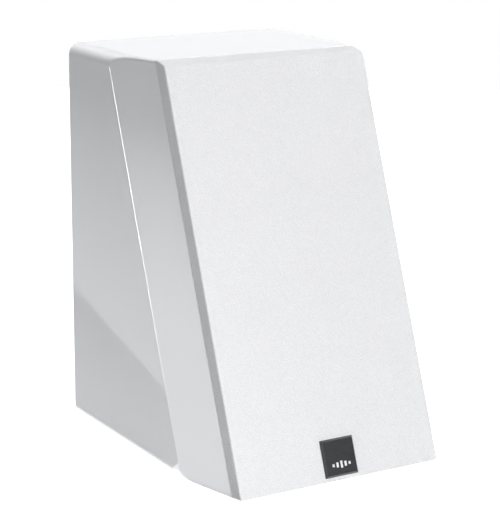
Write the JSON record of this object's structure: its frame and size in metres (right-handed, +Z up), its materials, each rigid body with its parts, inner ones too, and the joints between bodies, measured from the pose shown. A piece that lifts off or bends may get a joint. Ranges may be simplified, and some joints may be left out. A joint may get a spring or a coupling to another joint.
{
  "type": "bookshelf speaker",
  "caption": "Compact white two-way bookshelf speaker with a leaning front, bevelled front corners, removable cloth grille, rear port and rear binding posts.",
  "frame": {"origin": "middle of the outer box's base, on the surface the speaker stands on", "axes": "+Z up, -Y out of the front, +Y out of the rear panel, +X to the right seen from the front"},
  "size_m": [0.152, 0.1918, 0.233],
  "materials": {
    "white_lacquer": "white gloss lacquer over fibreboard",
    "bare_fibreboard": "bare fibreboard",
    "wadding": "white polyester wadding",
    "black_plastic": "fine-textured moulding",
    "driver_plastic": "satin moulding",
    "red_plastic": "gloss",
    "black_gloss_plastic": "gloss",
    "foam_rubber": "closed-cell foam",
    "soft_rubber": "satin",
    "plated_brass": "gold-plated",
    "raw_brass": "turned",
    "black_screw": "black zinc",
    "black_steel": "powder coat",
    "zinc_steel": "zinc-plated",
    "basket_paint": "satin black",
    "spider_cloth": "resin-treated cotton",
    "cone": "mica-filled polypropylene, satin",
    "former": "thin sheet",
    "copper": "enamelled winding wire",
    "ferrite": "sintered",
    "dome": "satin",
    "circuit_board": "green solder mask",
    "capacitor": "film sleeve",
    "resistor": "cement",
    "wire_jacket": "satin sleeve",
    "white_frame": "white primer over fibreboard",
    "white_cloth": "fine acoustic weave",
    "white_plastic": "moulded",
    "badge_black": "black anodised",
    "badge_white": "bright white"
  },
  "bodies": {
    "root": {"black_post_collar": "black_gloss_plastic", "bottom_panel": "white_lacquer", "cabinet_wadding": "wadding", "crossover_board": "circuit_board", "crossover_capacitors": "capacitor", "crossover_inductors": "copper", "crossover_resistors": "resistor", "crossover_standoffs": "zinc_steel", "front_baffle": "white_lacquer", "grille_sockets": "soft_rubber", "input_wires": "wire_jacket", "keyhole_plate": "black_steel", "keyhole_screws": "black_screw", "left_side_panel": "white_lacquer", "port_tube": "black_plastic", "post_hardware": "zinc_steel", "post_studs": "plated_brass", "rear_panel": "white_lacquer", "red_post_collar": "red_plastic", "right_side_panel": "white_lacquer", "shelf_brace": "bare_fibreboard", "terminal_cup": "black_plastic", "terminal_gasket": "foam_rubber", "terminal_screws": "black_screw", "threaded_insert": "raw_brass", "top_panel": "white_lacquer", "tweeter_faceplate": "driver_plastic", "tweeter_guard": "driver_plastic", "tweeter_magnet": "ferrite", "tweeter_rear_cup": "black_plastic", "tweeter_screws": "black_screw", "tweeter_surround": "soft_rubber", "tweeter_top_plate": "zinc_steel", "tweeter_wires": "wire_jacket", "tweeter_yoke": "zinc_steel", "woofer_basket": "basket_paint", "woofer_gasket": "soft_rubber", "woofer_magnet": "ferrite", "woofer_screws": "black_screw", "woofer_spider": "spider_cloth", "woofer_surround": "soft_rubber", "woofer_terminals": "resistor", "woofer_top_plate": "zinc_steel", "woofer_wires": "wire_jacket", "woofer_yoke": "zinc_steel"},
    "grille": {"grille_frame": "white_frame", "grille_fabric": "white_cloth", "grille_pegs": "white_plastic", "badge_plate": "badge_black", "badge_mark": "badge_white"},
    "woofer_motion": {"woofer_cone": "cone", "woofer_dust_cap": "cone", "woofer_former": "former", "woofer_coil": "copper"},
    "tweeter_motion": {"tweeter_dome": "dome", "tweeter_coil": "copper"},
    "red_clamp": {"red_post_washer": "plated_brass"},
    "red_knob": {"red_post_knob": "red_plastic"},
    "black_clamp": {"black_post_washer": "plated_brass"},
    "black_knob": {"black_post_knob": "black_gloss_plastic"}
  },
  "joints": [
    {"name": "grille_slide", "type": "slide", "parent": "root", "child": "grille", "axis": [0, -0.9361, 0.3518], "range_m": [0, 0.04]},
    {"name": "woofer_travel", "type": "slide", "parent": "root", "child": "woofer_motion", "axis": [0, -0.9361, 0.3518], "range_m": [-0.004, 0.004], "stiffness_N_per_m": 1000, "deforming": ["woofer_surround", "woofer_spider"]},
    {"name": "tweeter_travel", "type": "slide", "parent": "root", "child": "tweeter_motion", "axis": [0, -0.9361, 0.3518], "range_m": [-0.0005, 0.0005], "stiffness_N_per_m": 600, "deforming": ["tweeter_surround"]},
    {"name": "red_knob_turn", "type": "hinge", "parent": "red_clamp", "child": "red_knob", "pos_m": [-0.00953, 0.0835, 0.048], "axis": [0, 1, 0], "range_deg": [0, 1800]},
    {"name": "red_clamp_slide", "type": "slide", "parent": "root", "child": "red_clamp", "axis": [0, 1, 0], "range_m": [0, 0.005]},
    {"name": "black_knob_turn", "type": "hinge", "parent": "black_clamp", "child": "black_knob", "pos_m": [0.00953, 0.0835, 0.048], "axis": [0, 1, 0], "range_deg": [0, 1800]},
    {"name": "black_clamp_slide", "type": "slide", "parent": "root", "child": "black_clamp", "axis": [0, 1, 0], "range_m": [0, 0.005]}
  ],
  "couplings": [
    {"joint": "red_knob_turn", "follows": "red_clamp_slide", "rad_per_m": 6283.2},
    {"joint": "black_knob_turn", "follows": "black_clamp_slide", "rad_per_m": 6283.2}
  ]
}
